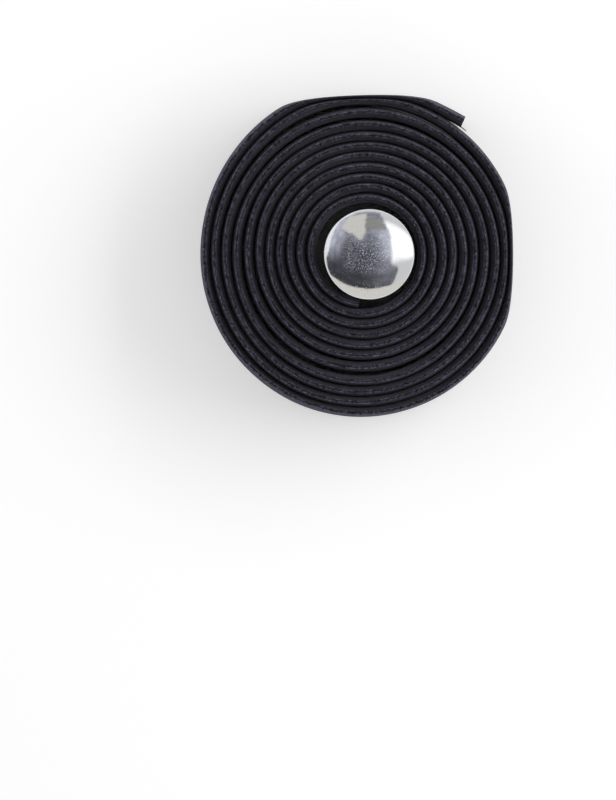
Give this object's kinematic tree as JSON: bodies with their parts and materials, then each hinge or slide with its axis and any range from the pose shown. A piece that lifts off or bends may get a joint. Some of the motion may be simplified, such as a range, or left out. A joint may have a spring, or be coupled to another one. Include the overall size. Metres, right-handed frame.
{
  "type": "handlebar tape roll",
  "caption": "Roll of bevelled black foam handlebar tape lying on its side edge, with a chrome-capped bar-end plug in its core.",
  "frame": {"origin": "centre of the part's box, on the surface that the roll lies on", "axes": "+Z along the winding's axis, out of the plug's cap; the tape's cut end is towards +X and +Y"},
  "size_m": [0.082, 0.0844, 0.0354],
  "materials": {
    "foam": "matte",
    "paper": "satin",
    "chrome": "polished",
    "plastic": "satin"
  },
  "bodies": {
    "root": {"tape": "foam", "release_liner": "paper", "plug_cap": "chrome", "plug_stem": "plastic"}
  },
  "joints": []
}
